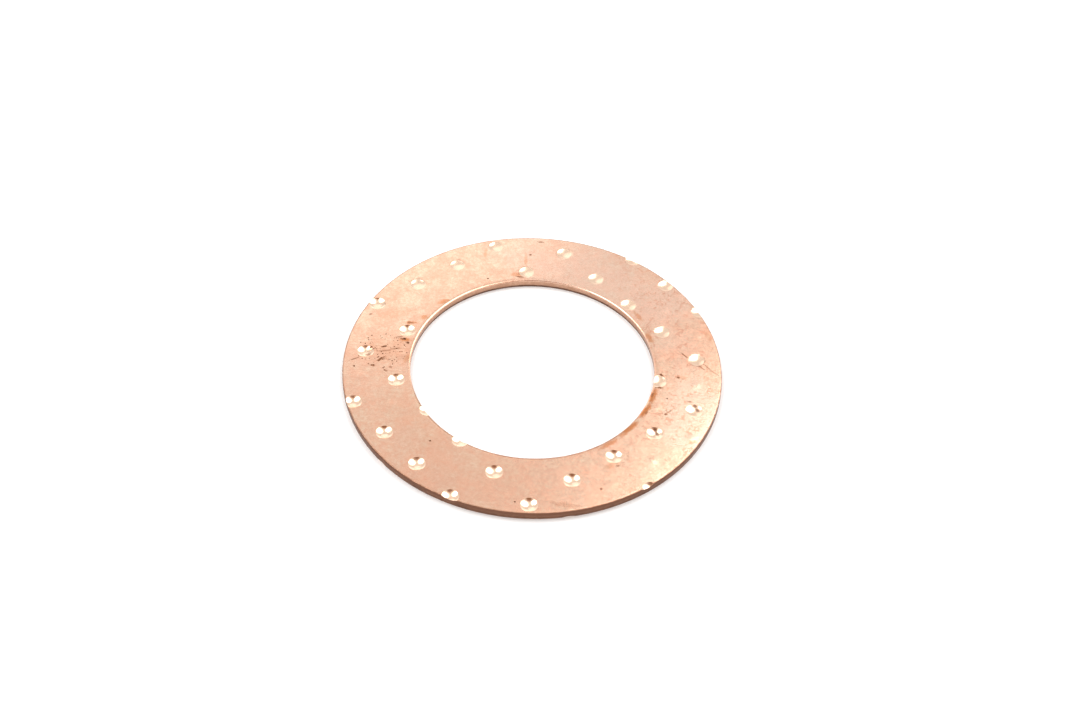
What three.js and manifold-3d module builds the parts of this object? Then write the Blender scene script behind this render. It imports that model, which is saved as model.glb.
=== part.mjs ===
// A bronze thrust washer: one flat ring blanked from rolled bearing strip.
// Both faces carry round-bottomed lubricant pockets, pressed into the strip before it was blanked,
// so the ring's edges cut through the pockets that they meet.
// Millimetres, +Z up. The origin is the centre of the underside, and the pocket rows run along X.

import * as THREE from "three";
import { mergeVertices } from "three/addons/utils/BufferGeometryUtils.js";
import Module from "manifold-3d";

// Ring
const outerDiameter = 66;
const boreDiameter = 42.5;
const thickness = 1.5;

// Blanked edges. The punch draws in the bore's upper corner and the die draws in the rim's lower one,
// and each wall breaks away at its other end.
const rollOverWidth = 0.32;
const rollOverDepth = 0.18;
const breakawayHeight = 0.45;
const breakawayDepth = 0.06;

// Lubricant pockets
const pocketMouthDiameter = 2.9;
const pocketDepth = 0.37;

// The press bites less deeply, and its worn tool is blunter, towards one side of the strip.
// The loss grows along a line that is turned this far from +X, between two distances from the centre.
const lostDepth = 0.2;
const toolBluntness = 0.35;
const lossTurn = 70;
const lossStart = -4;
const lossEnd = 12;

// Pocket pattern: rows along X, every second row shifted by half a pitch.
// The strip creeps sideways in the pressing rolls, so each row starts a little back from the last one.
const pocketPitch = 12.82;
const rowSpacing = 6.03;
const rowCreep = -0.075;
const patternOffsetX = -3.63;
const patternOffsetY = -0.88;

// Facets
const ringFacets = 96;
const rollOverSteps = 2;
const pocketFacets = 14;
const pocketSteps = 3;

// How far a cutter's round floor goes on past the face, as a share of its arc, and how high it stands
const cutterOverrun = 0.05;
const cutterHeadroom = 1;

const bronze = new THREE.MeshStandardMaterial({
  color: 0xd9a184,
  roughness: 0.38,
  metalness: 1,
});

const outerRadius = outerDiameter / 2;
const boreRadius = boreDiameter / 2;
const mouthRadius = pocketMouthDiameter / 2;

const wasm = await Module();
wasm.setup();

// Turns a closed shape that stands along Y into a solid that stands along Z.
function solidOf(lathe) {
  const upright = lathe.rotateX(Math.PI / 2);
  upright.deleteAttribute("normal");
  upright.deleteAttribute("uv");
  const merged = mergeVertices(upright);
  return new wasm.Manifold(
    new wasm.Mesh({
      numProp: 3,
      vertProperties: merged.attributes.position.array,
      triVerts: new Uint32Array(merged.index.array),
    }),
  );
}

function geometryOf(solid) {
  const mesh = solid.getMesh();
  const geometry = new THREE.BufferGeometry();
  geometry.setAttribute("position", new THREE.BufferAttribute(mesh.vertProperties, 3));
  geometry.setIndex(new THREE.BufferAttribute(mesh.triVerts, 1));
  const faceted = geometry.toNonIndexed();
  faceted.computeVertexNormals();
  return faceted;
}

// The drawn-in corner between a wall and a face, as a quarter ellipse from the face to the wall.
// outward is +1 where the metal lies outside the wall, as at the bore, and -1 at the outer edge.
// upward is +1 where the metal lies above the face, as at the underside, and -1 at the upper face.
function rollOver(wallRadius, outward, faceHeight, upward) {
  const points = [];
  for (let step = 0; step <= rollOverSteps; step += 1) {
    const turn = (step / rollOverSteps) * (Math.PI / 2);
    points.push(
      new THREE.Vector2(
        wallRadius + outward * rollOverWidth * (1 - Math.sin(turn)),
        faceHeight + upward * rollOverDepth * (1 - Math.cos(turn)),
      ),
    );
  }
  return points;
}

// The ring's closed section, from the underside of the outer edge up, across and down the bore.
function blankedRing() {
  const section = [
    ...rollOver(outerRadius, -1, 0, 1),
    new THREE.Vector2(outerRadius, thickness - breakawayHeight),
    new THREE.Vector2(outerRadius - breakawayDepth, thickness),
    ...rollOver(boreRadius, 1, thickness, -1),
    new THREE.Vector2(boreRadius, breakawayHeight),
    new THREE.Vector2(boreRadius + breakawayDepth, 0),
  ];
  section.push(section[0].clone());
  return solidOf(new THREE.LatheGeometry(section, ringFacets));
}

// The ball-ended tool that presses one pocket down into a face at height zero.
function pocketCutter() {
  const ballRadius = (mouthRadius ** 2 + pocketDepth ** 2) / (2 * pocketDepth);
  const mouthAngle = Math.asin(mouthRadius / ballRadius);
  const profile = [];
  for (let step = 0; step <= pocketSteps; step += 1) {
    const angle = (step / pocketSteps) * mouthAngle * (1 + cutterOverrun);
    profile.push(
      new THREE.Vector2(
        ballRadius * Math.sin(angle),
        ballRadius * (1 - Math.cos(angle)) - pocketDepth,
      ),
    );
  }
  const rim = profile[pocketSteps];
  profile.push(new THREE.Vector2(rim.x, cutterHeadroom));
  profile.push(new THREE.Vector2(0, cutterHeadroom));
  return solidOf(new THREE.LatheGeometry(profile, pocketFacets));
}

// Every pocket centre whose mouth touches the ring, with the rows moved on by whole row spacings.
// The sideways shift follows the row's number, so the pattern of one face is the same on the other.
function pocketCentres(rowsMovedOn) {
  const reach = outerRadius + mouthRadius;
  const rows = Math.ceil(reach / rowSpacing) + 1;
  const columns = Math.ceil(reach / pocketPitch) + 1;
  const centres = [];
  for (let row = -rows; row <= rows; row += 1) {
    const halfStep = Math.abs(row % 2) * (pocketPitch / 2);
    for (let column = -columns; column <= columns; column += 1) {
      const x = patternOffsetX + column * pocketPitch + halfStep + (row + rowsMovedOn) * rowCreep;
      const y = patternOffsetY + (row + rowsMovedOn) * rowSpacing;
      const fromCentre = Math.hypot(x, y);
      if (fromCentre < reach && fromCentre > boreRadius - mouthRadius) centres.push([x, y]);
    }
  }
  return centres;
}

// The cutter as it bites at one place: the more depth it loses there, the higher and wider it is.
function cutterAt(cutter, x, y) {
  const turn = THREE.MathUtils.degToRad(lossTurn);
  const along = x * Math.cos(turn) + y * Math.sin(turn);
  const loss = THREE.MathUtils.smoothstep(along, lossStart, lossEnd);
  const width = 1 + toolBluntness * loss;
  return cutter.scale([width, width, 1]).translate([x, y, lostDepth * loss]);
}

function pocketedWasher() {
  const cutter = pocketCutter();
  let washer = blankedRing();
  for (const [x, y] of pocketCentres(0)) {
    washer = washer.subtract(cutterAt(cutter, x, y).translate([0, 0, thickness]));
  }
  // The underside's rows lie midway between the upper rows, so no two pockets are back to back.
  for (const [x, y] of pocketCentres(1)) {
    washer = washer.subtract(cutterAt(cutter, x, y).mirror([0, 0, 1]));
  }
  return geometryOf(washer);
}

const thrustWasher = new THREE.Mesh(pocketedWasher(), bronze);
thrustWasher.name = "thrust_washer";

const part = new THREE.Group();
part.name = "pocketed_thrust_washer";
part.add(thrustWasher);

export default part;
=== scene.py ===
import math

import bpy
from mathutils import Matrix, Quaternion, Vector


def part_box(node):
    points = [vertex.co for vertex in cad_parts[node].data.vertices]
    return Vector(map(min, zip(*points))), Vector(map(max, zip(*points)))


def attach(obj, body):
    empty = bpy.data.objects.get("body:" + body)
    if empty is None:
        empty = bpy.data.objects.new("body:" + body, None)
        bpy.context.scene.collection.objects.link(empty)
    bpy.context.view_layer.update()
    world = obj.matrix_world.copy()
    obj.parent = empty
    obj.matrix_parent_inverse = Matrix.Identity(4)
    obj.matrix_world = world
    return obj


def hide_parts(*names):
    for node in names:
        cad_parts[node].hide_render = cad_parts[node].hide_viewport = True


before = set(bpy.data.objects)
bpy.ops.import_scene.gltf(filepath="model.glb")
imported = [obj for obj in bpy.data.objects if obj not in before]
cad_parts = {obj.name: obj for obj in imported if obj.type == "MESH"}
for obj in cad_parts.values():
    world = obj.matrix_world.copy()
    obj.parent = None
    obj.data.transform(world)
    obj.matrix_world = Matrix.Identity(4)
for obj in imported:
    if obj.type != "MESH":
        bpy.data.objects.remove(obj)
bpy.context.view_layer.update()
lowest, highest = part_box("thrust_washer")
print("frame loaded")

mm = 0.001

# Sizes in millimetres. The outside and the thickness come from the frame.
washer = {
    "outerRadius": (highest[0] - lowest[0]) / 2 / mm,
    "boreRadius": 21.25,
    "thickness": (highest[2] - lowest[2]) / mm,
    "rollOverWidth": 0.3,
    "rollOverDepth": 0.17,
    "edgeBreak": 0.05,
    "cornerPoints": 7,
    "breakawayHeight": 0.45,
    "breakawayDepth": 0.06,
    "wallRoughness": 0.02,
    "waviness": 0.03,
    "waveScale": 0.06,
    "tearScale": 2.6,
    "tearWidth": 0.8,
    "lipWidth": 0.5,
    "lipSag": 0.4,
    "lipScale": 0.35,
    "wallSteepness": 0.35,
    "crispAngle": 0.38,
    "cellSize": 0.42,
    "cellsAround": 400,
    "seed": 7,
}

# The pressed pockets, and the low marks that they push through to the other face
pockets = {
    "mouthRadius": 1.45,
    "depth": 0.37,
    "lostDepth": 0.2,
    "toolBluntness": 0.35,
    "lossTurn": math.radians(70),
    "lossStart": -4.0,
    "lossEnd": 12.0,
    "pitch": 12.82,
    "rowSpacing": 6.03,
    "rowCreep": -0.075,
    "offsetX": -3.63,
    "offsetY": -0.88,
    "markRadius": 1.25,
    "markHeight": 0.02,
    "ballSegments": 48,
    "ballRings": 60,
}

# The corroded patch, with its small pits
pits = {
    "pitPatchX": -26.4,
    "pitPatchY": -0.2,
    "pitPatchRadius": 4.4,
    "pitDensity": 1.6,
    "pitSmallest": 0.05,
    "pitLargest": 0.14,
    "pitDepth": 0.6,
    "dingDepth": 0.3,
    "lumpScale": 1.4,
    "leastSwell": 0.5,
}

# Single dings in the upper face: x, y, length, width, and turn in degrees
dings = [
    (-28.9, -1.1, 1.0, 0.75, 60),
    (-28.6, 0.2, 0.75, 0.5, 20),
    (-26.4, -2.4, 1.2, 0.38, 68),
    (-27.5, -4.0, 0.75, 0.32, 20),
    (-30.6, -4.7, 0.4, 0.35, 0),
    (-25.2, -4.9, 0.35, 0.3, 0),
    (-23.2, 3.0, 0.85, 0.55, 15),
    (-22.3, 2.2, 0.45, 0.35, 0),
    (-26.3, 0.7, 1.1, 0.4, 25),
    (-29.0, 10.5, 0.55, 0.5, 40),
    (-14.8, -19.8, 0.42, 0.34, 0),
    (-10.7, 20.5, 0.4, 0.3, 0),
    (22.4, 0.8, 0.55, 0.4, -30),
    (22.3, -2.2, 0.6, 0.4, 10),
    (25.3, 0.6, 0.4, 0.26, 20),
    (23.8, -4.7, 0.32, 0.28, 0),
    (0.8, -30.75, 0.36, 0.3, 0),
]


def addNode(tree, kind, inputs=None, **settings):
    node = tree.nodes.new(kind)
    for name, value in settings.items():
        setattr(node, name, value)
    for key, value in (inputs or {}).items():
        if isinstance(value, bpy.types.NodeSocket):
            tree.links.new(value, node.inputs[key])
        else:
            node.inputs[key].default_value = value
    return node


# One Math node; works in geometry and shader trees alike
def calc(tree, operation, *values):
    node = addNode(tree, "ShaderNodeMath", dict(enumerate(values)), operation=operation)
    return node.outputs[0]


def joinXyz(tree, x=0.0, y=0.0, z=0.0):
    return addNode(tree, "ShaderNodeCombineXYZ", {"X": x, "Y": y, "Z": z}).outputs[0]


def splitXyz(tree, vector):
    return addNode(tree, "ShaderNodeSeparateXYZ", {0: vector}).outputs


def length2d(tree, a, b):
    total = calc(tree, "ADD", calc(tree, "MULTIPLY", a, a), calc(tree, "MULTIPLY", b, b))
    return calc(tree, "SQRT", total)


# A smooth step from newLow, at low and below, to newHigh, at high and above
def spread(tree, value, low, high, newLow=0.0, newHigh=1.0):
    inputs = {"Value": value, "From Min": low, "From Max": high, "To Min": newLow, "To Max": newHigh}
    return addNode(tree, "ShaderNodeMapRange", inputs, interpolation_type="SMOOTHSTEP").outputs[0]


def fadeOut(tree, value, low, high):
    return spread(tree, value, low, high, 1.0, 0.0)


def noiseAt(tree, vector, scale, detail=2.0, seed=0.0, roughness=0.5):
    return addNode(
        tree, "ShaderNodeTexNoise",
        {"Vector": vector, "W": seed, "Scale": scale, "Detail": detail, "Roughness": roughness},
        noise_dimensions="4D",
    ).outputs[0]


def ownPlace(tree):
    return addNode(tree, "GeometryNodeInputPosition").outputs[0]


def realise(tree, instances):
    return addNode(tree, "GeometryNodeRealizeInstances", {0: instances}).outputs[0]


def shift(tree, geometry, offset):
    return addNode(tree, "GeometryNodeSetPosition", {"Geometry": geometry, "Offset": offset}).outputs[0]


# How far a point lies from the nearest place of the staggered rows; the pattern is the same for
# both faces, moved on by one row spacing for the underside
def rowDistance(tree, x, y, size, rowsMovedOn):
    rise = calc(tree, "MULTIPLY_ADD", size["rowSpacing"], rowsMovedOn, size["offsetY"])
    start = calc(tree, "MULTIPLY_ADD", size["rowCreep"], rowsMovedOn, size["offsetX"])
    up = calc(tree, "SUBTRACT", y, rise)
    lean = calc(tree, "MULTIPLY", up, calc(tree, "DIVIDE", size["rowCreep"], size["rowSpacing"]))
    along = calc(tree, "SUBTRACT", calc(tree, "SUBTRACT", x, start), lean)
    halfPitch = calc(tree, "MULTIPLY", size["pitch"], 0.5)
    aside = calc(tree, "PINGPONG", along, halfPitch)
    above = calc(tree, "PINGPONG", up, size["rowSpacing"])
    evenRow = length2d(tree, aside, above)
    asideOther = calc(tree, "SUBTRACT", halfPitch, aside)
    oddRow = length2d(tree, asideOther, calc(tree, "SUBTRACT", size["rowSpacing"], above))
    return calc(tree, "MINIMUM", evenRow, oddRow)


# The closed section of the ring, a box with rounded corners: the corners that the punch and the die
# drew in, above at the bore and below at the rim, are wide, and the other two are only broken. It is
# drawn stretched upwards and pressed flat, which makes the round corners elliptical.
def ringSection(tree, size):
    width = calc(tree, "SUBTRACT", size["outerRadius"], size["boreRadius"])
    stretch = calc(tree, "DIVIDE", size["rollOverWidth"], size["rollOverDepth"])
    height = calc(tree, "MULTIPLY", size["thickness"], stretch)
    box = addNode(tree, "GeometryNodeCurvePrimitiveQuadrilateral", {"Width": width, "Height": height})
    x, y, _ = splitXyz(tree, ownPlace(tree))
    isDrawn = calc(tree, "GREATER_THAN", calc(tree, "MULTIPLY", x, y), 0.0)
    extra = calc(tree, "SUBTRACT", size["rollOverWidth"], size["edgeBreak"])
    radius = calc(tree, "MULTIPLY_ADD", extra, isDrawn, size["edgeBreak"])
    rounded = addNode(
        tree, "GeometryNodeFilletCurve",
        {"Curve": box.outputs[0], "Radius": radius, "Count": size["cornerPoints"]}, mode="POLY",
    )
    # Long straight stretches are divided into cells
    points = addNode(
        tree, "GeometryNodeAttributeDomainSize", {0: rounded.outputs[0]}, component="CURVE"
    )
    index = addNode(tree, "GeometryNodeInputIndex").outputs[0]
    nextIndex = calc(tree, "MODULO", calc(tree, "ADD", index, 1.0), points.outputs["Point Count"])
    here = ownPlace(tree)
    there = addNode(
        tree, "GeometryNodeFieldAtIndex", {"Value": here, "Index": nextIndex},
        data_type="FLOAT_VECTOR",
    )
    gap = addNode(tree, "ShaderNodeVectorMath", {0: here, 1: there.outputs[0]}, operation="DISTANCE")
    cuts = calc(tree, "FLOOR", calc(tree, "DIVIDE", gap.outputs["Value"], size["cellSize"]))
    divided = addNode(tree, "GeometryNodeSubdivideCurve", {"Curve": rounded.outputs[0], "Cuts": cuts})
    flat = joinXyz(tree, 1.0, calc(tree, "DIVIDE", 1.0, stretch), 1.0)
    return addNode(
        tree, "GeometryNodeTransform", {"Geometry": divided.outputs[0], "Scale": flat}
    ).outputs[0]


# Everything that bends the swept ring: walls that tear away where the tool broke through, an uneven
# roll-over at the bore, slight waves, and the low marks over the other face's pockets
def workedRing(tree, size, ring):
    place = ownPlace(tree)
    x, y, z = splitXyz(tree, place)
    radius = length2d(tree, x, y)
    fromRim = calc(tree, "SUBTRACT", size["outerRadius"], radius)
    fromBore = calc(tree, "SUBTRACT", radius, size["boreRadius"])
    fromTop = calc(tree, "SUBTRACT", size["thickness"], z)
    tearing = noiseAt(tree, place, size["tearScale"], 3.0, size["seed"])
    tearDepth = calc(tree, "MULTIPLY", tearing, size["wallRoughness"])

    def tornIn(fromTornFace, fromWall):
        share = calc(tree, "SUBTRACT", 1.0, calc(tree, "DIVIDE", fromTornFace, size["breakawayHeight"]))
        taper = calc(tree, "MULTIPLY", calc(tree, "MAXIMUM", share, 0.0), size["breakawayDepth"])
        near = fadeOut(tree, fromWall, 0.0, size["tearWidth"])
        return calc(tree, "MULTIPLY", calc(tree, "ADD", taper, tearDepth), near)

    push = calc(tree, "SUBTRACT", tornIn(z, fromBore), tornIn(fromTop, fromRim))
    newRadius = calc(tree, "DIVIDE", calc(tree, "ADD", radius, push), radius)

    halfWay = calc(tree, "MULTIPLY", size["thickness"], 0.5)
    isUpper = calc(tree, "GREATER_THAN", z, halfWay)
    isLower = calc(tree, "SUBTRACT", 1.0, isUpper)
    upperMark = fadeOut(tree, rowDistance(tree, x, y, size, 1.0), 0.0, size["markRadius"])
    lowerMark = fadeOut(tree, rowDistance(tree, x, y, size, 0.0), 0.0, size["markRadius"])
    mark = calc(
        tree, "SUBTRACT", calc(tree, "MULTIPLY", upperMark, isUpper),
        calc(tree, "MULTIPLY", lowerMark, isLower),
    )
    raised = calc(tree, "MULTIPLY_ADD", mark, size["markHeight"], z)
    bend = noiseAt(tree, joinXyz(tree, x, y), size["waveScale"], 2.0, size["seed"])
    bent = calc(tree, "MULTIPLY_ADD", calc(tree, "SUBTRACT", bend, 0.5), size["waviness"], raised)
    unevenness = noiseAt(tree, place, size["lipScale"], 2.0, size["seed"])
    lip = calc(tree, "MULTIPLY", fadeOut(tree, fromBore, 0.0, size["lipWidth"]), isUpper)
    deepest = calc(tree, "MULTIPLY", unevenness, size["lipSag"])
    sag = calc(tree, "MULTIPLY", deepest, size["rollOverDepth"])
    moved = joinXyz(
        tree, calc(tree, "MULTIPLY", x, newRadius), calc(tree, "MULTIPLY", y, newRadius),
        calc(tree, "SUBTRACT", bent, calc(tree, "MULTIPLY", lip, sag)),
    )
    return addNode(tree, "GeometryNodeSetPosition", {"Geometry": ring, "Position": moved}).outputs[0]


# One ball for each pocket that meets the ring, at the given height. The press bites less deeply
# and more bluntly towards one side of the strip, so the balls there stand further out and are
# wider; outwards is 1 for up and -1 for down.
def pocketBalls(tree, size, ball, height, outwards, rowsMovedOn):
    reach = calc(tree, "ADD", size["outerRadius"], size["mouthRadius"])
    inside = calc(tree, "SUBTRACT", size["boreRadius"], size["mouthRadius"])

    # An odd number of places, so that the middle one is at zero
    def places(step):
        half = calc(tree, "CEIL", calc(tree, "DIVIDE", reach, step))
        number = calc(tree, "MULTIPLY_ADD", half, 2.0, 3.0)
        return number, calc(tree, "MULTIPLY", calc(tree, "SUBTRACT", number, 1.0), step)

    columns, gridWidth = places(size["pitch"])
    rows, gridHeight = places(size["rowSpacing"])
    grid = addNode(
        tree, "GeometryNodeMeshGrid",
        {"Size X": gridWidth, "Size Y": gridHeight, "Vertices X": columns, "Vertices Y": rows},
    )
    y = splitXyz(tree, ownPlace(tree))["Y"]
    row = calc(tree, "ROUND", calc(tree, "DIVIDE", y, size["rowSpacing"]))
    halfStep = calc(tree, "MULTIPLY", calc(tree, "PINGPONG", row, 1.0), size["pitch"])
    creep = calc(tree, "MULTIPLY", calc(tree, "ADD", row, rowsMovedOn), size["rowCreep"])
    aside = calc(tree, "ADD", calc(tree, "MULTIPLY_ADD", halfStep, 0.5, creep), size["offsetX"])
    rise = calc(tree, "MULTIPLY_ADD", size["rowSpacing"], rowsMovedOn, size["offsetY"])
    shifted = shift(tree, grid.outputs[0], joinXyz(tree, aside, rise, height))
    newX, newY, _ = splitXyz(tree, ownPlace(tree))
    radius = length2d(tree, newX, newY)
    meets = calc(
        tree, "MULTIPLY", calc(tree, "LESS_THAN", radius, reach),
        calc(tree, "GREATER_THAN", radius, inside),
    )
    along = calc(
        tree, "ADD", calc(tree, "MULTIPLY", newX, calc(tree, "COSINE", size["lossTurn"])),
        calc(tree, "MULTIPLY", newY, calc(tree, "SINE", size["lossTurn"])),
    )
    loss = spread(tree, along, size["lossStart"], size["lossEnd"])
    wide = calc(tree, "MULTIPLY_ADD", loss, size["toolBluntness"], 1.0)
    risen = calc(tree, "MULTIPLY", calc(tree, "MULTIPLY", loss, size["lostDepth"]), outwards)
    raised = shift(tree, shifted, joinXyz(tree, 0.0, 0.0, risen))
    return addNode(
        tree, "GeometryNodeInstanceOnPoints",
        {
            "Points": raised, "Selection": meets, "Instance": ball,
            "Scale": joinXyz(tree, wide, wide, 1.0),
        },
    ).outputs[0]


# A face attribute that says which finish a face gets; it outlives the cutting
def markFinish(tree, geometry, finish, selection=True):
    return addNode(
        tree, "GeometryNodeStoreNamedAttribute",
        {"Geometry": geometry, "Selection": selection, "Name": "finish", "Value": finish},
        data_type="INT", domain="FACE",
    ).outputs[0]


# Corrosion pits scattered over one round patch of the upper face
def pitBalls(tree, size, blob):
    patch = addNode(
        tree, "GeometryNodeMeshCircle", {"Vertices": 24, "Radius": size["pitPatchRadius"]},
        fill_type="NGON",
    )
    scattered = addNode(
        tree, "GeometryNodeDistributePointsOnFaces",
        {
            "Mesh": patch.outputs[0], "Density Max": size["pitDensity"],
            "Distance Min": calc(tree, "MULTIPLY", size["pitLargest"], 2.0), "Seed": size["seed"],
        },
        distribute_method="POISSON",
    )
    centre = joinXyz(tree, size["pitPatchX"], size["pitPatchY"], size["thickness"])
    placed = addNode(
        tree, "GeometryNodeTransform", {"Geometry": scattered.outputs[0], "Translation": centre}
    )
    width = addNode(
        tree, "FunctionNodeRandomValue",
        {2: size["pitSmallest"], 3: size["pitLargest"], "Seed": size["seed"]},
        data_type="FLOAT",
    ).outputs[1]
    oval = joinXyz(tree, width, width, calc(tree, "MULTIPLY", width, size["pitDepth"]))
    instances = addNode(
        tree, "GeometryNodeInstanceOnPoints",
        {"Points": placed.outputs[0], "Instance": blob, "Scale": oval},
    )
    return realise(tree, instances.outputs[0])


# One blob for each point that comes in, sized and turned by the point's own attributes
def dingBalls(tree, size, points, blob):
    def read(name):
        return addNode(
            tree, "GeometryNodeInputNamedAttribute", {"Name": name}, data_type="FLOAT"
        ).outputs[0]

    width = read("dingWidth")
    half = joinXyz(
        tree, calc(tree, "MULTIPLY", read("dingLength"), 0.5), calc(tree, "MULTIPLY", width, 0.5),
        calc(tree, "MULTIPLY", width, size["dingDepth"]),
    )
    lifted = shift(tree, points, joinXyz(tree, 0.0, 0.0, size["thickness"]))
    spin = addNode(
        tree, "FunctionNodeEulerToRotation", {0: joinXyz(tree, 0.0, 0.0, read("dingTurn"))}
    )
    instances = addNode(
        tree, "GeometryNodeInstanceOnPoints",
        {"Points": lifted, "Instance": blob, "Scale": half, "Rotation": spin.outputs[0]},
    )
    return realise(tree, instances.outputs[0])


# A lumpy little ball, so that no two pits have a neat outline
def lumpyBall(tree, size):
    ball = addNode(tree, "GeometryNodeMeshIcoSphere", {"Radius": 1.0, "Subdivisions": 3})
    place = ownPlace(tree)
    lump = noiseAt(tree, place, size["lumpScale"], 2.0, size["seed"])
    swell = calc(tree, "ADD", lump, size["leastSwell"])
    out = addNode(tree, "ShaderNodeVectorMath", {0: place, "Scale": swell}, operation="SCALE")
    return addNode(
        tree, "GeometryNodeSetPosition", {"Geometry": ball.outputs[0], "Position": out.outputs[0]}
    ).outputs[0]


finishes = ["rolledFace", "shearedRim", "burnishedBore", "pressedPocket", "corrodedPit"]


def washerTree(settings):
    tree = bpy.data.node_groups.new("pocketedWasher", "GeometryNodeTree")
    tree.interface.new_socket("dingPoints", in_out="INPUT", socket_type="NodeSocketGeometry")
    for name, value in settings.items():
        kind = "NodeSocketInt" if isinstance(value, int) else "NodeSocketFloat"
        tree.interface.new_socket(name, in_out="INPUT", socket_type=kind)
    for name in finishes:
        tree.interface.new_socket(name, in_out="INPUT", socket_type="NodeSocketMaterial")
    tree.interface.new_socket("washer", in_out="OUTPUT", socket_type="NodeSocketGeometry")
    size = addNode(tree, "NodeGroupInput").outputs

    # The section swept round a circle, and set on the ground
    middle = calc(tree, "MULTIPLY", calc(tree, "ADD", size["outerRadius"], size["boreRadius"]), 0.5)
    circle = addNode(
        tree, "GeometryNodeCurvePrimitiveCircle", {"Resolution": size["cellsAround"], "Radius": middle}
    )
    path = addNode(tree, "GeometryNodeSetCurveNormal", {"Curve": circle.outputs[0]}, mode="Z_UP")
    swept = addNode(
        tree, "GeometryNodeCurveToMesh",
        {"Curve": path.outputs[0], "Profile Curve": ringSection(tree, size)},
    )
    halfWay = calc(tree, "MULTIPLY", size["thickness"], 0.5)
    standing = addNode(
        tree, "GeometryNodeTransform",
        {"Geometry": swept.outputs[0], "Translation": joinXyz(tree, 0.0, 0.0, halfWay)},
    )
    facing = splitXyz(tree, addNode(tree, "GeometryNodeInputNormal").outputs[0])["Z"]
    isWall = calc(tree, "LESS_THAN", calc(tree, "ABSOLUTE", facing), size["wallSteepness"])
    x, y, _ = splitXyz(tree, ownPlace(tree))
    isOuter = calc(tree, "GREATER_THAN", length2d(tree, x, y), middle)
    isRim = calc(tree, "MULTIPLY", isWall, isOuter)
    isBore = calc(tree, "SUBTRACT", isWall, isRim)
    finish = calc(tree, "MULTIPLY_ADD", isBore, 2.0, isRim)
    ring = workedRing(tree, size, markFinish(tree, standing.outputs[0], finish))

    # The pockets are what balls leave, pressed in from both sides
    squares = calc(
        tree, "ADD", calc(tree, "POWER", size["mouthRadius"], 2.0), calc(tree, "POWER", size["depth"], 2.0)
    )
    ballRadius = calc(tree, "DIVIDE", squares, calc(tree, "MULTIPLY", size["depth"], 2.0))
    ball = addNode(
        tree, "GeometryNodeMeshUVSphere",
        {"Segments": size["ballSegments"], "Rings": size["ballRings"], "Radius": ballRadius},
    ).outputs[0]
    sunk = calc(tree, "SUBTRACT", ballRadius, size["depth"])
    upper = pocketBalls(tree, size, ball, calc(tree, "ADD", size["thickness"], sunk), 1.0, 0.0)
    lower = pocketBalls(tree, size, ball, calc(tree, "MULTIPLY", sunk, -1.0), -1.0, 1.0)
    balls = addNode(tree, "GeometryNodeJoinGeometry")
    for part in (upper, lower):
        tree.links.new(part, balls.inputs[0])
    cutters = realise(tree, balls.outputs[0])

    blob = lumpyBall(tree, size)
    cut = addNode(
        tree, "GeometryNodeMeshBoolean", {"Mesh 1": ring}, operation="DIFFERENCE", solver="MANIFOLD"
    )
    pocketFinish, pitFinish = finishes.index("pressedPocket"), finishes.index("corrodedPit")
    scattered = pitBalls(tree, size, blob)
    dinged = dingBalls(tree, size, size["dingPoints"], blob)
    for cutter, given in ((cutters, pocketFinish), (scattered, pitFinish), (dinged, pitFinish)):
        tree.links.new(markFinish(tree, cutter, given), cut.inputs["Mesh 2"])

    # Smooth everywhere but over the crisp edges
    angle = addNode(tree, "GeometryNodeInputMeshEdgeAngle").outputs[0]
    allSmooth = addNode(
        tree, "GeometryNodeSetShadeSmooth", {0: cut.outputs[0], "Shade Smooth": True}, domain="FACE"
    )
    isSharp = calc(tree, "GREATER_THAN", angle, size["crispAngle"])
    crisp = addNode(
        tree, "GeometryNodeSetShadeSmooth",
        {0: allSmooth.outputs[0], "Selection": isSharp, "Shade Smooth": False},
        domain="EDGE",
    )
    inMetres = addNode(
        tree, "GeometryNodeTransform", {"Geometry": crisp.outputs[0], "Scale": (mm, mm, mm)}
    )
    result = realise(tree, inMetres.outputs[0])
    kind = addNode(
        tree, "GeometryNodeInputNamedAttribute", {"Name": "finish"}, data_type="INT"
    ).outputs[0]
    for number, name in enumerate(finishes):
        isKind = calc(tree, "COMPARE", kind, float(number), 0.1)
        result = addNode(
            tree, "GeometryNodeSetMaterial", {0: result, "Selection": isKind, "Material": size[name]}
        ).outputs[0]
    addNode(tree, "NodeGroupOutput", {0: result})
    return tree


# A shader node group with named inputs and outputs; returns it with the ends to wire
def startGroup(name, inputs, outputs):
    tree = bpy.data.node_groups.new(name, "ShaderNodeTree")
    for label, value in inputs.items():
        kind = "NodeSocketVector" if isinstance(value, tuple) else "NodeSocketFloat"
        socket = tree.interface.new_socket(label, in_out="INPUT", socket_type=kind)
        socket.default_value = value
    for label, kind in outputs.items():
        tree.interface.new_socket(label, in_out="OUTPUT", socket_type=kind)
    return tree, addNode(tree, "NodeGroupInput").outputs


def useGroup(tree, group, inputs):
    return addNode(tree, "ShaderNodeGroup", inputs, node_tree=group).outputs


def scaleBy(tree, vector, factors):
    return addNode(
        tree, "ShaderNodeVectorMath", {0: vector, 1: factors}, operation="MULTIPLY"
    ).outputs[0]


def mixColour(tree, factor, first, second):
    return addNode(tree, "ShaderNodeMix", {0: factor, 6: first, 7: second}, data_type="RGBA").outputs[2]


# How the patterns that the finishes share are made
patterns = {
    "cloudLow": 0.36,
    "cloudHigh": 0.64,
    "smallCloudScale": 5.0,
    "smallCloudShare": 0.45,
    "dimpleScale": 0.6,
    "dimpleShare": 0.4,
    "speckRuffle": 0.12,
    "speckLeast": 0.35,
    "speckCore": 0.55,
    "smudgeRagged": 2.2,
    "scratchSway": 3.0,
    "scratchBreak": 0.22,
    "scratchShown": (0.55, 0.68),
    "crinkleShown": (0.46, 0.6),
    "lineCore": 0.3,
}


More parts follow.
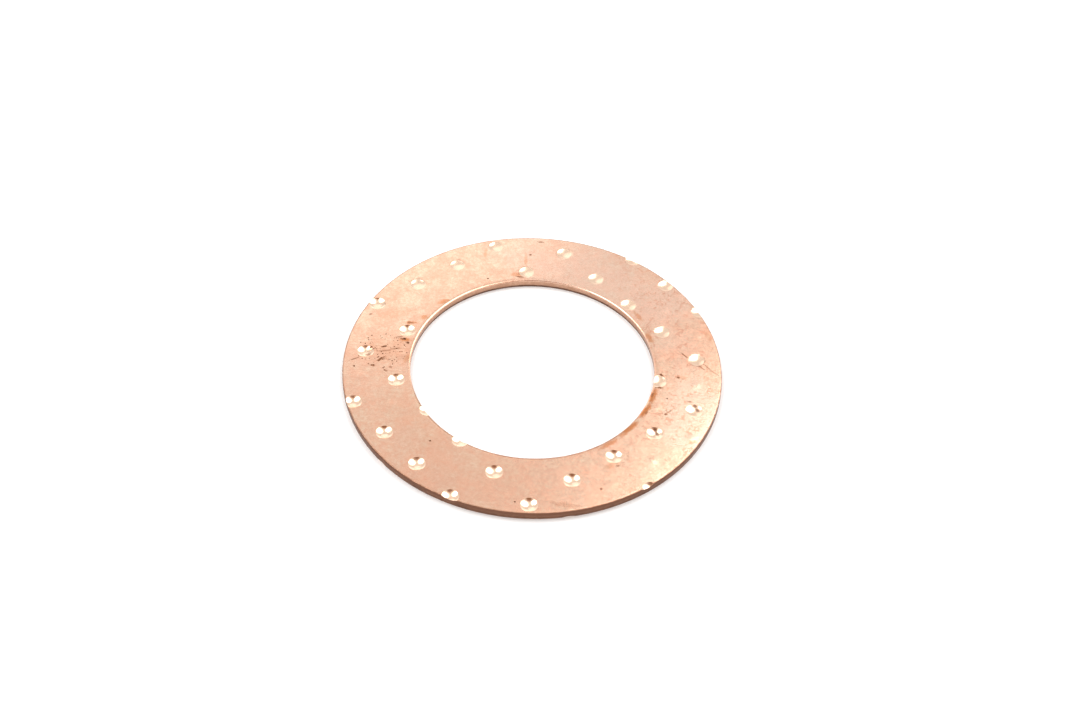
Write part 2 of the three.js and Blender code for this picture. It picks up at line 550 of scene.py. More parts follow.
# Cloudy patches at two sizes, between 0 and 1
def cloudGroup():
    tree, given = startGroup(
        "tarnishClouds", {"Place": (0.0, 0.0, 0.0), "Size": 6.0, "Seed": 0.0}, {"Mask": "NodeSocketFloat"}
    )
    scaled = calc(tree, "DIVIDE", 1.0, given["Size"])
    large = noiseAt(tree, given["Place"], scaled, 3.0, given["Seed"])
    smallScale = calc(tree, "MULTIPLY", scaled, patterns["smallCloudScale"])
    small = noiseAt(tree, given["Place"], smallScale, 3.0, given["Seed"])
    smallShare = patterns["smallCloudShare"]
    both = calc(tree, "MULTIPLY_ADD", small, smallShare, calc(tree, "MULTIPLY", large, 1.0 - smallShare))
    addNode(tree, "NodeGroupOutput", {0: spread(tree, both, patterns["cloudLow"], patterns["cloudHigh"])})
    return tree


# Fine lines left by the rolls, along X, as a height and a mask
def grainGroup():
    tree, given = startGroup(
        "rollingGrain", {"Place": (0.0, 0.0, 0.0), "Spacing": 0.2, "Length": 6.0, "Seed": 0.0},
        {"Height": "NodeSocketFloat", "Mask": "NodeSocketFloat"},
    )
    across = calc(tree, "DIVIDE", 1.0, given["Spacing"])
    along = calc(tree, "DIVIDE", 1.0, given["Length"])
    drawn = scaleBy(tree, given["Place"], joinXyz(tree, along, across, across))
    lines = noiseAt(tree, drawn, 1.0, 4.0, given["Seed"], 0.65)
    dimpleScale = calc(tree, "MULTIPLY", across, patterns["dimpleScale"])
    dimples = noiseAt(tree, given["Place"], dimpleScale, 2.0, given["Seed"])
    share = patterns["dimpleShare"]
    height = calc(tree, "MULTIPLY_ADD", dimples, share, calc(tree, "MULTIPLY", lines, 1.0 - share))
    addNode(tree, "NodeGroupOutput", {0: height, 1: spread(tree, lines, 0.35, 0.65)})
    return tree


# Tiny dark specks, thrown at random
def speckGroup():
    tree, given = startGroup(
        "darkSpecks",
        {"Place": (0.0, 0.0, 0.0), "Gap": 2.0, "Size": 0.1, "Share": 0.5, "Seed": 0.0},
        {"Mask": "NodeSocketFloat"},
    )
    ruffle = addNode(
        tree, "ShaderNodeTexNoise", {"Vector": given["Place"], "Scale": 3.0}, noise_dimensions="3D"
    ).outputs["Color"]
    ruffled = scaleBy(tree, ruffle, (patterns["speckRuffle"],) * 3)
    warped = addNode(
        tree, "ShaderNodeVectorMath", {0: ruffled, 1: given["Place"]}, operation="ADD"
    ).outputs[0]
    cells = addNode(
        tree, "ShaderNodeTexVoronoi",
        {"Vector": warped, "W": given["Seed"], "Scale": calc(tree, "DIVIDE", 1.0, given["Gap"])},
        voronoi_dimensions="4D",
    )
    draw = splitXyz(tree, cells.outputs["Color"])
    chosen = calc(tree, "LESS_THAN", draw["X"], given["Share"])
    reach = calc(tree, "MULTIPLY", given["Size"], calc(tree, "ADD", draw["Y"], patterns["speckLeast"]))
    reach = calc(tree, "DIVIDE", reach, given["Gap"])
    out = calc(tree, "DIVIDE", cells.outputs["Distance"], reach)
    core = fadeOut(tree, out, patterns["speckCore"], 1.0)
    addNode(tree, "NodeGroupOutput", {0: calc(tree, "MULTIPLY", core, chosen)})
    return tree


# One smudge with a ragged outline, stretched along its own turn
def smudgeGroup():
    tree, given = startGroup(
        "smudge",
        {
            "Place": (0.0, 0.0, 0.0), "Ragged": 0.5, "CentreX": 0.0, "CentreY": 0.0,
            "Length": 1.0, "Width": 1.0, "Turn": 0.0, "Strength": 1.0, "Softness": 1.0,
        },
        {"Mask": "NodeSocketFloat"},
    )
    x, y, _ = splitXyz(tree, given["Place"])
    offX = calc(tree, "SUBTRACT", x, given["CentreX"])
    offY = calc(tree, "SUBTRACT", y, given["CentreY"])
    cosine = calc(tree, "COSINE", given["Turn"])
    sine = calc(tree, "SINE", given["Turn"])
    along = calc(tree, "ADD", calc(tree, "MULTIPLY", offX, cosine), calc(tree, "MULTIPLY", offY, sine))
    across = calc(tree, "SUBTRACT", calc(tree, "MULTIPLY", offY, cosine), calc(tree, "MULTIPLY", offX, sine))
    halfLength = calc(tree, "MULTIPLY", given["Length"], 0.5)
    halfWidth = calc(tree, "MULTIPLY", given["Width"], 0.5)
    out = length2d(tree, calc(tree, "DIVIDE", along, halfLength), calc(tree, "DIVIDE", across, halfWidth))
    unevenness = calc(tree, "SUBTRACT", given["Ragged"], 0.5)
    edge = calc(tree, "MULTIPLY_ADD", unevenness, patterns["smudgeRagged"], out)
    mask = fadeOut(tree, edge, calc(tree, "SUBTRACT", 1.1, given["Softness"]), 1.2)
    addNode(tree, "NodeGroupOutput", {0: calc(tree, "MULTIPLY", mask, given["Strength"])})
    return tree


# A thin line, dark at its middle
def thinLine(tree, fromLine, thickness):
    return fadeOut(tree, fromLine, calc(tree, "MULTIPLY", thickness, patterns["lineCore"]), thickness)


# Long hair scratches lying near one direction
def scratchGroup():
    tree, given = startGroup(
        "hairScratches",
        {"Place": (0.0, 0.0, 0.0), "Turn": 0.0, "Gap": 1.0, "Thickness": 0.04, "Seed": 0.0},
        {"Mask": "NodeSocketFloat"},
    )
    turned = addNode(
        tree, "ShaderNodeVectorRotate", {"Vector": given["Place"], "Angle": given["Turn"]},
        rotation_type="Z_AXIS",
    ).outputs[0]
    sway = noiseAt(tree, turned, scale=0.12, detail=1.0, seed=given["Seed"])
    x, y, _ = splitXyz(tree, turned)
    drift = calc(tree, "MULTIPLY_ADD", sway, patterns["scratchSway"], y)
    rows = calc(tree, "DIVIDE", drift, given["Gap"])
    fromLine = calc(tree, "MULTIPLY", calc(tree, "PINGPONG", rows, 0.5), given["Gap"])
    line = thinLine(tree, fromLine, given["Thickness"])
    nearest = calc(tree, "FLOOR", calc(tree, "ADD", rows, 0.5))
    along = calc(tree, "MULTIPLY", x, patterns["scratchBreak"])
    breaks = noiseAt(tree, joinXyz(tree, along, nearest), 1.0, 2.0, given["Seed"])
    shown = spread(tree, breaks, *patterns["scratchShown"])
    addNode(tree, "NodeGroupOutput", {0: calc(tree, "MULTIPLY", line, shown)})
    return tree


# Thin wandering lines, broken here and there
def crinkleGroup():
    tree, given = startGroup(
        "crinkles",
        {"Place": (0.0, 0.0, 0.0), "Size": 2.0, "Thickness": 0.02, "Seed": 0.0},
        {"Mask": "NodeSocketFloat"},
    )
    scaled = calc(tree, "DIVIDE", 1.0, given["Size"])
    hills = noiseAt(tree, given["Place"], scaled, 3.0, given["Seed"])
    fromLine = calc(tree, "ABSOLUTE", calc(tree, "SUBTRACT", hills, 0.5))
    line = thinLine(tree, fromLine, given["Thickness"])
    breaks = noiseAt(tree, given["Place"], calc(tree, "MULTIPLY", scaled, 1.3), 1.0, given["Seed"])
    shown = spread(tree, breaks, *patterns["crinkleShown"])
    addNode(tree, "NodeGroupOutput", {0: calc(tree, "MULTIPLY", line, shown)})
    return tree


# Where a material's patterns lie: the object's own place, in millimetres
def placeInMm(tree):
    own = addNode(tree, "ShaderNodeTexCoord").outputs["Object"]
    return scaleBy(tree, own, (1 / mm, 1 / mm, 1 / mm))


def startMaterial(name):
    material = bpy.data.materials.new(name)
    material.use_nodes = True
    tree = material.node_tree
    tree.nodes.clear()
    shader = addNode(tree, "ShaderNodeBsdfPrincipled")
    addNode(tree, "ShaderNodeOutputMaterial", {"Surface": shader.outputs[0]})
    return material, tree, shader


def wire(tree, shader, name, value):
    tree.links.new(value, shader.inputs[name])


def bumpFrom(tree, height, depth):
    return addNode(
        tree, "ShaderNodeBump", {"Height": height, "Strength": 1.0, "Distance": depth * mm}
    ).outputs[0]


def blendMask(tree, mask, low, high):
    return addNode(tree, "ShaderNodeMapRange", {"Value": mask, "To Min": low, "To Max": high}).outputs[0]


# The rolled face: satin bronze with cloudy tarnish, roll lines, hair scratches, specks and smudges, plus
# pale patches that are partly painted sheen and a painted shade line along the front of the bore
faceLook = {
    "pinkBronze": (0.925, 0.635, 0.468, 1),
    "tanBronze": (0.925, 0.69, 0.505, 1),
    # the pale colour: partly pale patina, partly painted sheen where the face catches the softboxes' light
    "paleBronzeAndSheen": (0.94, 0.70, 0.59, 1),
    "tarnish": (0.765, 0.38, 0.25, 1),
    "stain": (0.66, 0.25, 0.10, 1),
    "oxide": (0.26, 0.105, 0.05, 1),
    "roughLow": 0.15,
    "roughHigh": 0.21,
    "grainDepth": 0.01,
    "rimLineWidth": 0.3,
    # the bore line is painted shade, set by its width and by where it fades from the front to the back
    "boreShadeWidth": 0.5,
    "boreShadeFront": -14.0,
    "boreShadeBack": 4.0,
    "edgeLineAndShade": 0.8,
    "fineTarnish": 0.48,
    "sandyTarnish": 0.55,
    "grainTarnish": 0.08,
    "markSoftness": 0.7,
    "scratchTone": 0.2,
    "scratchDepth": 0.15,
    "crowdingFrom": 8.0,
    "crowdingTo": 24.0,
    "leastCrinkled": 0.25,
    "mostCrinkled": 0.9,
    "speckTone": 0.75,
    "markRough": 0.2,
    "markMetallic": 0.8,
}

# Broad patches of the face: x, y, length, width, turn in degrees, strength, softness, colour. The pale
# patches are partly pale patina and partly painted sheen: they lighten the right side and the back right,
# where the softboxes' light falls on the face.
filmsAndSheen = [
    (26.0, 12.5, 27.0, 15.0, -62, 0.18, 0.45, "tarnish"),
    (-3.0, -28.0, 48.0, 18.0, 0, 0.25, 0.9, "tarnish"),
    (29.5, -8.5, 24.0, 11.0, -78, 0.25, 0.35, "paleBronzeAndSheen"),
    (12.0, 22.0, 50.0, 26.0, -28, 0.3, 0.9, "paleBronzeAndSheen"),
    (-25.0, 0.5, 9.5, 7.0, 10, 0.2, 0.9, "stain"),
    (-26.0, 9.0, 10.0, 3.0, 25, 0.16, 0.8, "stain"),
    (-19.0, -16.0, 22.0, 9.0, -50, 0.06, 0.9, "stain"),
]

# Warm stains: x, y, length, width, turn in degrees, strength
stains = [
    (21.3, -4.4, 3.4, 1.35, 75, 1.0),
    (20.3, -8.0, 4.6, 1.2, 66, 1.0),
    (18.0, -12.4, 5.0, 1.2, 54, 0.94),
    (14.8, -16.4, 4.6, 1.0, 44, 0.68),
    (17.4, 14.6, 3.0, 1.05, -52, 0.55),
    (19.8, 9.6, 2.8, 1.35, -62, 0.74),
    (-4.4, 26.4, 3.6, 0.75, 96, 0.45),
    (-12.1, 27.2, 3.0, 0.75, 92, 0.4),
    (-5.2, 22.4, 3.0, 1.2, 5, 0.61),
    (-22.8, 7.2, 2.2, 0.9, 5, 0.8),
    (-17.8, 13.4, 2.5, 1.1, 35, 0.74),
    (-20.5, 9.0, 2.1, 1.2, 30, 0.68),
    (-22.9, 2.9, 2.1, 1.1, 5, 0.94),
    (-21.9, -1.8, 2.8, 1.2, 80, 0.5),
    (25.9, 0.6, 2.3, 1.05, 5, 0.28),
    (28.6, -14.0, 2.3, 0.9, 20, 0.35),
    (15.5, -21.0, 3.0, 1.2, 30, 0.34),
    (30.2, 11.4, 2.8, 1.4, -60, 0.3),
]

# Dark marks, with the same columns
smudges = [
    (-22.8, 7.2, 1.5, 0.45, 5, 0.72),
    (-30.2, 8.3, 1.1, 0.45, 35, 0.72),
    (-26.3, -2.3, 2.0, 0.52, 45, 1.0),
    (-27.4, -4.1, 1.3, 0.52, 0, 1.0),
    (-24.9, -5.0, 0.7, 0.6, 0, 0.87),
    (-24.3, -4.0, 0.7, 0.6, 0, 0.72),
    (-26.1, -0.3, 2.8, 0.45, 15, 0.65),
    (-24.2, 0.5, 2.3, 0.45, 15, 0.65),
    (-24.0, 3.5, 1.4, 0.45, 10, 0.65),
    (-22.4, 2.2, 1.0, 0.75, -30, 0.87),
    (-30.9, -3.0, 2.5, 0.3, 34, 0.87),
    (21.2, -4.2, 1.4, 0.6, 75, 0.87),
    (20.5, -8.4, 1.7, 0.6, 60, 0.8),
    (22.4, 0.6, 1.1, 0.6, -20, 1.0),
    (22.3, -2.3, 1.4, 0.6, 0, 1.0),
    (24.2, -7.8, 3.0, 0.38, 48, 0.72),
    (23.8, -8.3, 0.9, 0.6, 48, 1.0),
    (25.4, 0.5, 0.7, 0.52, 0, 1.0),
    (27.6, -4.9, 1.0, 0.45, 0, 0.87),
    (26.2, 6.0, 2.8, 0.33, -41, 0.94),
    (29.1, 3.6, 4.0, 0.3, -38, 0.8),
    (30.1, 3.9, 4.4, 0.3, -42, 0.72),
    (31.6, 2.5, 3.0, 0.38, -30, 0.58),
    (-4.9, 21.8, 1.8, 0.45, 0, 0.94),
    (-3.8, 28.0, 0.6, 0.6, 0, 0.87),
    (-2.3, 31.8, 1.6, 0.45, 0, 0.72),
    (14.4, -26.1, 0.6, 0.6, 0, 0.87),
    (16.6, -20.9, 0.9, 0.6, 0, 0.8),
    (9.0, -30.3, 5.0, 1.3, -3, 0.46),
]


def smudgeMask(tree, groups, place, ragged, mark, softness):
    x, y, length, width, turn, strength = mark
    return useGroup(tree, groups["smudge"], {
        "Place": place, "Ragged": ragged, "CentreX": x, "CentreY": y, "Length": length,
        "Width": width, "Turn": math.radians(turn), "Strength": strength, "Softness": softness,
    })["Mask"]


# Where any mark of a list lies
def marksMask(tree, groups, place, ragged, marks):
    mask = None
    for mark in marks:
        one = smudgeMask(tree, groups, place, ragged, mark, faceLook["markSoftness"])
        mask = one if mask is None else calc(tree, "MAXIMUM", mask, one)
    return mask


def rolledFace(groups):
    material, tree, shader = startMaterial("rolledFace")
    place = placeInMm(tree)
    clouds = useGroup(tree, groups["clouds"], {"Place": place, "Size": 7.0, "Seed": 2.0})["Mask"]
    fine = useGroup(tree, groups["clouds"], {"Place": place, "Size": 2.0, "Seed": 5.0})["Mask"]
    sandy = useGroup(tree, groups["clouds"], {"Place": place, "Size": 0.55, "Seed": 8.0})["Mask"]
    grain = useGroup(tree, groups["grain"], {"Place": place, "Spacing": 0.22, "Length": 5.0})
    base = mixColour(tree, clouds, faceLook["pinkBronze"], faceLook["tanBronze"])
    worn = base
    layers = ((fine, "fineTarnish"), (sandy, "sandyTarnish"), (grain["Mask"], "grainTarnish"))
    for layer, share in layers:
        worn = mixColour(tree, blendMask(tree, layer, 0.0, faceLook[share]), worn, faceLook["tarnish"])
    slowly = noiseAt(tree, place, scale=0.1, detail=5.0, seed=3.0, roughness=0.6)
    # the pale patches laid here are partly painted sheen, lighter where the softboxes light the face
    for *mark, softness, colour in filmsAndSheen:
        filmAndSheen = smudgeMask(tree, groups, place, slowly, mark, softness)
        worn = mixColour(tree, filmAndSheen, worn, faceLook[colour])

    # Scuffs: hair scratches all over, and wandering lines that crowd together on the right
    x, y, _ = splitXyz(tree, place)
    rising = useGroup(tree, groups["scratches"], {"Place": place, "Turn": 0.6, "Gap": 1.7, "Seed": 1.0})
    falling = useGroup(tree, groups["scratches"], {"Place": place, "Turn": -0.25, "Gap": 2.3, "Seed": 6.0})
    scratches = calc(tree, "MAXIMUM", rising["Mask"], falling["Mask"])
    wide = useGroup(tree, groups["crinkles"], {"Place": place, "Size": 2.6, "Thickness": 0.02, "Seed": 3.0})
    close = useGroup(tree, groups["crinkles"], {"Place": place, "Size": 1.1, "Thickness": 0.03, "Seed": 7.0})
    crinkles = calc(tree, "MAXIMUM", wide["Mask"], close["Mask"])
    crowding = spread(
        tree, x, faceLook["crowdingFrom"], faceLook["crowdingTo"],
        faceLook["leastCrinkled"], faceLook["mostCrinkled"],
    )
    scuffs = calc(
        tree, "MAXIMUM", calc(tree, "MULTIPLY", crinkles, crowding),
        calc(tree, "MULTIPLY", scratches, faceLook["scratchTone"]),
    )
    scuffed = mixColour(tree, scuffs, worn, faceLook["tarnish"])

    # Stains, then dark marks, edges and specks. The line along the bore's edge is painted shade: darkest at
    # the front, it thins out towards the back and is gone behind the bore.
    quickly = noiseAt(tree, place, scale=1.6, detail=4.0, seed=3.0, roughness=0.7)
    warm = marksMask(tree, groups, place, quickly, stains)
    stained = mixColour(tree, warm, scuffed, faceLook["stain"])
    fromCentre = length2d(tree, x, y)
    fromRim = calc(tree, "SUBTRACT", washer["outerRadius"], fromCentre)
    fromBore = calc(tree, "SUBTRACT", fromCentre, washer["boreRadius"])
    # painted shade along the bore's edge, fading from the front to the back
    boreShadeFade = spread(tree, y, faceLook["boreShadeFront"], faceLook["boreShadeBack"])
    alongBore = calc(tree, "ADD", boreShadeFade, fromBore)
    rimLine = fadeOut(tree, fromRim, faceLook["rimLineWidth"] * 0.5, faceLook["rimLineWidth"])
    boreShadeLine = fadeOut(tree, alongBore, faceLook["boreShadeWidth"] * 0.5, faceLook["boreShadeWidth"])
    edgeLineAndShade = calc(tree, "MAXIMUM", rimLine, boreShadeLine)
    broken = spread(tree, quickly, 0.3, 0.6, faceLook["edgeLineAndShade"] * 0.5, faceLook["edgeLineAndShade"])
    # the dark marks together with the edge lines, which along the bore are painted shade
    dirtAndEdgeShade = calc(
        tree, "MAXIMUM", marksMask(tree, groups, place, quickly, smudges),
        calc(tree, "MULTIPLY", edgeLineAndShade, broken),
    )
    dirtyAndEdgeShade = mixColour(tree, dirtAndEdgeShade, stained, faceLook["oxide"])
    specks = useGroup(
        tree, groups["specks"], {"Place": place, "Gap": 2.6, "Size": 0.16, "Share": 0.22, "Seed": 4.0}
    )["Mask"]
    fromPatch = length2d(
        tree, calc(tree, "SUBTRACT", x, pits["pitPatchX"]), calc(tree, "SUBTRACT", y, pits["pitPatchY"])
    )
    inPatch = fadeOut(tree, fromPatch, pits["pitPatchRadius"] * 0.5, pits["pitPatchRadius"] * 1.2)
    dense = useGroup(
        tree, groups["specks"], {"Place": place, "Gap": 0.5, "Size": 0.16, "Share": 0.4, "Seed": 8.0}
    )["Mask"]
    allSpecks = calc(tree, "MAXIMUM", specks, calc(tree, "MULTIPLY", dense, inPatch))
    speckTone = calc(tree, "MULTIPLY", allSpecks, faceLook["speckTone"])
    specked = mixColour(tree, speckTone, dirtyAndEdgeShade, faceLook["oxide"])
    marked = calc(tree, "MAXIMUM", dirtAndEdgeShade, allSpecks)
    rough = spread(tree, fine, 0.0, 1.0, faceLook["roughLow"], faceLook["roughHigh"])
    wire(tree, shader, "Base Color", specked)
    wire(tree, shader, "Metallic", blendMask(tree, marked, 1.0, faceLook["markMetallic"]))
    wire(tree, shader, "Roughness", calc(tree, "MULTIPLY_ADD", marked, faceLook["markRough"], rough))
    dug = calc(tree, "MULTIPLY", scratches, faceLook["scratchDepth"])
    relief = calc(tree, "SUBTRACT", grain["Height"], dug)
    wire(tree, shader, "Normal", bumpFrom(tree, relief, faceLook["grainDepth"]))
    return material


# The pocket walls: coined smooth by the punch, so glossier and cleaner than the face
pocketLook = {
    "bronze": (0.93, 0.68, 0.50, 1),
    "tarnish": (0.80, 0.48, 0.33, 1),
    "tarnishShare": 0.35,
    "roughLow": 0.14,
    "roughHigh": 0.22,
    "grainDepth": 0.003,
}

# Grit pressed into some pockets, with the columns of the stains
pocketMarks = [
    (22.3, -12.0, 1.1, 0.6, 5, 0.75),
    (22.6, -12.7, 1.3, 0.6, -60, 0.75),
    (28.6, -5.8, 1.3, 0.45, 5, 0.68),
    (29.1, -6.5, 1.1, 0.6, -50, 0.75),
    (-28.6, -0.2, 1.4, 0.68, 40, 0.75),
    (-28.8, -1.4, 1.1, 0.9, 20, 0.75),
    (-27.8, 11.2, 1.1, 0.6, -35, 0.58),
    (-27.2, 11.6, 0.8, 0.45, 60, 0.49),
]


def pressedPocket(groups):
    material, tree, shader = startMaterial("pressedPocket")
    place = placeInMm(tree)
    clouds = useGroup(tree, groups["clouds"], {"Place": place, "Size": 1.2, "Seed": 9.0})["Mask"]
    grain = useGroup(tree, groups["grain"], {"Place": place, "Spacing": 0.14, "Length": 0.5})
    tarnished = blendMask(tree, clouds, 0.0, pocketLook["tarnishShare"])
    clean = mixColour(tree, tarnished, pocketLook["bronze"], pocketLook["tarnish"])
    quickly = noiseAt(tree, place, scale=2.2, detail=4.0, seed=5.0, roughness=0.7)
    grit = marksMask(tree, groups, place, quickly, pocketMarks)
    wire(tree, shader, "Base Color", mixColour(tree, grit, clean, faceLook["oxide"]))
    wire(tree, shader, "Roughness", spread(
        tree, clouds, 0.0, 1.0, pocketLook["roughLow"], pocketLook["roughHigh"]
    ))
    wire(tree, shader, "Normal", bumpFrom(tree, grain["Height"], pocketLook["grainDepth"]))
    shader.inputs["Metallic"].default_value = 1.0
    return material


edgeLook = {
    "raggedness": 0.2,
    "tornStart": 0.8,
    "tornEnd": 1.2,
    "lineTone": 0.3,
}


# A cut edge: a sheared band, and a darker torn one where the tool broke through, which is next to the upper
# face on the rim and next to the underside in the bore. In the bore that dark band by the floor is partly a
# real torn zone and partly painted contact shadow.
def cutEdge(name, look, groups):
    material, tree, shader = startMaterial(name)
    place = placeInMm(tree)
    x, y, z = splitXyz(tree, place)
    turn = calc(tree, "MULTIPLY", calc(tree, "ARCTAN2", y, x), washer["outerRadius"])
    unrolled = joinXyz(tree, z, turn)
    grain = useGroup(tree, groups["grain"], {"Place": unrolled, "Spacing": 0.12, "Length": 0.9})
    clouds = useGroup(tree, groups["clouds"], {"Place": place, "Size": 2.4, "Seed": 3.0})["Mask"]
    fromTornFace = calc(tree, "ABSOLUTE", calc(tree, "SUBTRACT", z, look["tornFaceHeight"]))
    unevenness = calc(tree, "SUBTRACT", clouds, 0.5)
    ragged = calc(tree, "MULTIPLY_ADD", unevenness, edgeLook["raggedness"], fromTornFace)
    band = washer["breakawayHeight"]
    torn = fadeOut(tree, ragged, band * edgeLook["tornStart"], band * edgeLook["tornEnd"])
    sheared = mixColour(tree, clouds, look["clean"], look["tarnished"])
    lines = blendMask(tree, grain["Mask"], 0.0, edgeLook["lineTone"])
    lined = mixColour(tree, lines, sheared, look["torn"])
    wire(tree, shader, "Base Color", mixColour(tree, torn, lined, look["torn"]))
    wire(tree, shader, "Roughness", blendMask(tree, torn, look["roughLow"], look["roughHigh"]))
    wire(tree, shader, "Normal", bumpFrom(tree, grain["Height"], look["grainDepth"]))
    shader.inputs["Metallic"].default_value = 1.0
    return material


rimLook = {
    "clean": (0.24, 0.12, 0.075, 1),
    "tarnished": (0.17, 0.083, 0.052, 1),
    "torn": (0.20, 0.095, 0.06, 1),
    "tornFaceHeight": washer["thickness"],
    "roughLow": 0.42,
    "roughHigh": 0.6,
    "grainDepth": 0.02,
}

boreLook = {
    "clean": (0.60, 0.36, 0.25, 1),
    "tarnished": (0.47, 0.26, 0.17, 1),
    # torn: at the bottom of the bore by the floor, partly a real torn zone and partly painted contact shadow
    "torn": (0.19, 0.10, 0.068, 1),
    "tornFaceHeight": 0.0,
    "roughLow": 0.3,
    "roughHigh": 0.5,
    "grainDepth": 0.012,
}


pitLook = {
    "dark": (0.15, 0.06, 0.028, 1),
    "light": (0.45, 0.21, 0.11, 1),
    "roughLow": 0.5,
    "roughHigh": 0.75,
    "metallic": 0.85,
}


# Inside the dings and corrosion pits
def corrodedPit(groups):
    material, tree, shader = startMaterial("corrodedPit")
    place = placeInMm(tree)
    clouds = useGroup(tree, groups["clouds"], {"Place": place, "Size": 0.4, "Seed": 1.0})["Mask"]
    wire(tree, shader, "Base Color", mixColour(tree, clouds, pitLook["dark"], pitLook["light"]))
    wire(tree, shader, "Roughness", blendMask(tree, clouds, pitLook["roughLow"], pitLook["roughHigh"]))
    shader.inputs["Metallic"].default_value = pitLook["metallic"]
    return material


def makeMaterials():
    groups = {
        "clouds": cloudGroup(), "grain": grainGroup(), "specks": speckGroup(),
        "smudge": smudgeGroup(), "scratches": scratchGroup(), "crinkles": crinkleGroup(),
    }
    return {
        "rolledFace": rolledFace(groups),
        "shearedRim": cutEdge("shearedRim", rimLook, groups),
        "burnishedBore": cutEdge("burnishedBore", boreLook, groups),
        "pressedPocket": pressedPocket(groups),
        "corrodedPit": corrodedPit(groups),
    }


# The dings' places go in as loose points, and the finished washer comes out as a plain mesh
def makeWasher(materials):
    points = bpy.data.meshes.new("dingPoints")
    points.from_pydata([(x, y, 0.0) for x, y, *_ in dings], [], [])
    columns = {"dingLength": 2, "dingWidth": 3, "dingTurn": 4}
    for name, column in columns.items():
        attribute = points.attributes.new(name, "FLOAT", "POINT")
        for item, ding in zip(attribute.data, dings):
            item.value = math.radians(ding[column]) if name == "dingTurn" else ding[column]
    settings = {**washer, **pockets, **pits}
    carrier = bpy.data.objects.new("washerCarrier", points)
    bpy.context.scene.collection.objects.link(carrier)
    modifier = carrier.modifiers.new("build", "NODES")
    modifier.node_group = washerTree(settings)
    values = {**settings, **materials}
    for item in modifier.node_group.interface.items_tree:
        if item.in_out == "INPUT" and item.name in values:
            modifier[item.identifier] = values[item.name]
    evaluated = carrier.evaluated_get(bpy.context.evaluated_depsgraph_get())
    mesh = bpy.data.meshes.new_from_object(evaluated)
    for index in reversed(range(len(mesh.materials))):
        if mesh.materials[index] is None:
            mesh.materials.pop(index=index)
    mesh.name = "pocketedWasher"
    bpy.data.objects.remove(carrier)
    piece = bpy.data.objects.new("pocketed_washer", mesh)
    bpy.context.scene.collection.objects.link(piece)
    return piece


# The radius is in metres, the gap under the washer in millimetres
floorLook = {
    "radius": 4.0,
    "corners": 96,
    "gap": 0.03,
    "paper": (0.93, 0.93, 0.925, 1),
    "rough": 0.9,
    "glow": 0.12,
}


# A big white sheet just under the washer
def makeFloor():
    bpy.ops.mesh.primitive_circle_add(
        vertices=floorLook["corners"], radius=floorLook["radius"], fill_type="NGON", location=(0, 0, 0)
    )
    floor = bpy.context.object
    floor.name = "floor"
    floor.data.transform(Matrix.Translation((0, 0, lowest[2] - floorLook["gap"] * mm)))
    material, _, shader = startMaterial("whitePaper")
    shader.inputs["Base Color"].default_value = floorLook["paper"]
    shader.inputs["Roughness"].default_value = floorLook["rough"]
    shader.inputs["Specular IOR Level"].default_value = 0.0
    shader.inputs["Emission Color"].default_value = (1, 1, 1, 1)
    shader.inputs["Emission Strength"].default_value = floorLook["glow"]
    floor.data.materials.append(material)
    return floor


# Light comes from the dome, which has a warm dark patch, and from round softboxes. A direction is
# given by its lean from straight up, to the right and to the back, in degrees.
dome = {
    "horizon": 1.8,
    "high": 0.89,
    "horizonEnd": 0.05,
    "highStart": 0.45,
    "darkLean": (2, -12),
    "darkInner": 6,
    "darkOuter": 24,
    "dark": 0.3,
    "darkColour": (1.0, 0.5, 0.3, 1),
}

softboxes = {
    "rightBackBox": {"lean": (24.5, 28), "halfAngle": 21, "distance": 0.84, "radiance": 2.6},
    "leftBackBox": {"lean": (-27, 58), "halfAngle": 14, "distance": 0.345, "radiance": 0.6},
    "leftBox": {"lean": (-29, 11), "halfAngle": 16, "distance": 0.6, "radiance": 3.5},
}


def leaning(lean):
    rightLean, backLean = (math.radians(angle) for angle in lean)
    return Vector((math.tan(rightLean), math.tan(backLean), 1.0)).normalized()


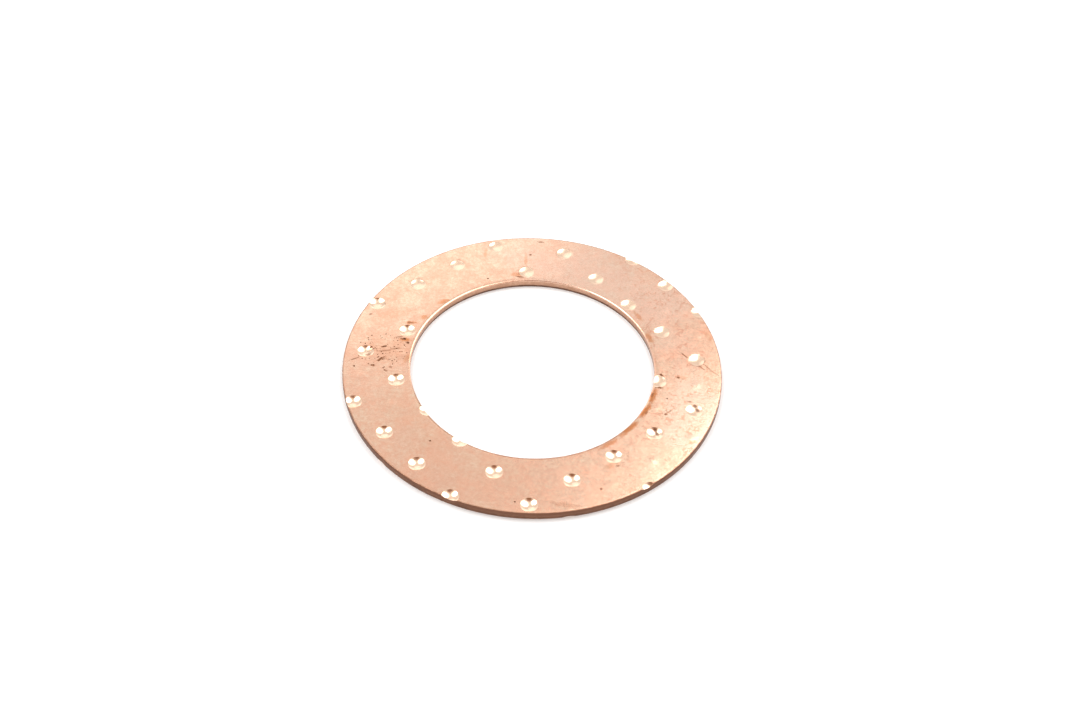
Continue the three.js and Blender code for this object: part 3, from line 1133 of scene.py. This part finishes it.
def makeDome():
    world = bpy.data.worlds.new("studioDome")
    bpy.context.scene.world = world
    world.use_nodes = True
    tree = world.node_tree
    tree.nodes.clear()
    direction = addNode(tree, "ShaderNodeTexCoord").outputs["Generated"]

    def nearness(lean, inner, outer):
        dot = addNode(
            tree, "ShaderNodeVectorMath", {0: direction, 1: tuple(leaning(lean))}, operation="DOT_PRODUCT"
        ).outputs["Value"]
        return spread(tree, dot, math.cos(math.radians(outer)), math.cos(math.radians(inner)))

    height = splitXyz(tree, direction)["Z"]
    level = spread(
        tree, height, dome["horizonEnd"], dome["highStart"], dome["horizon"], dome["high"]
    )
    dark = nearness(dome["darkLean"], dome["darkInner"], dome["darkOuter"])
    darkened = calc(tree, "MULTIPLY_ADD", calc(tree, "SUBTRACT", dome["dark"], level), dark, level)
    colour = mixColour(tree, dark, (1, 1, 1, 1), dome["darkColour"])
    background = addNode(tree, "ShaderNodeBackground", {"Color": colour, "Strength": darkened})
    addNode(tree, "ShaderNodeOutputWorld", {0: background.outputs[0]})


def makeSoftbox(name, box):
    lamp = bpy.data.lights.new(name, "AREA")
    lamp.shape = "DISK"
    radius = box["distance"] * math.tan(math.radians(box["halfAngle"]))
    lamp.size = radius * 2
    lamp.energy = box["radiance"] * math.pi * math.pi * radius**2
    away = leaning(box["lean"])
    light = bpy.data.objects.new(name, lamp)
    light.location = away * box["distance"]
    light.rotation_mode = "QUATERNION"
    light.rotation_quaternion = away.to_track_quat("Z", "Y")
    light.visible_camera = False
    bpy.context.scene.collection.objects.link(light)


# The camera looks down over the front edge, rolled very slightly
cameraView = {
    "azimuth": 5.4,
    "elevation": 46.5,
    "distance": 0.2877,
    "aim": (0.82 * mm, 2.97 * mm, 0.0),
    "roll": 2.24,
    "lens": 54.97,
    "sensorWidth": 36.0,
    "nearest": 0.01,
}


def makeCamera():
    data = bpy.data.cameras.new("camera")
    data.lens = cameraView["lens"]
    data.sensor_width = cameraView["sensorWidth"]
    data.clip_start = cameraView["nearest"]
    camera = bpy.data.objects.new("camera", data)
    bpy.context.scene.collection.objects.link(camera)
    azimuth = math.radians(cameraView["azimuth"])
    elevation = math.radians(cameraView["elevation"])
    back = Vector((
        math.sin(azimuth) * math.cos(elevation),
        -math.cos(azimuth) * math.cos(elevation),
        math.sin(elevation),
    ))
    camera.location = back * cameraView["distance"]
    look = Vector(cameraView["aim"]) - camera.location
    camera.rotation_mode = "QUATERNION"
    level = look.to_track_quat("-Z", "Y")
    camera.rotation_quaternion = level @ Quaternion((0, 0, 1), math.radians(cameraView["roll"]))
    bpy.context.scene.camera = camera


makeCamera()
washerPiece = makeWasher(makeMaterials())
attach(washerPiece, "root")
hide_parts("thrust_washer")
print("washer made,", len(washerPiece.data.polygons), "faces")

makeFloor()
makeDome()
for boxName, box in softboxes.items():
    makeSoftbox(boxName, box)
bpy.context.scene.view_settings.view_transform = "Standard"
print("floor, dome and softboxes set")
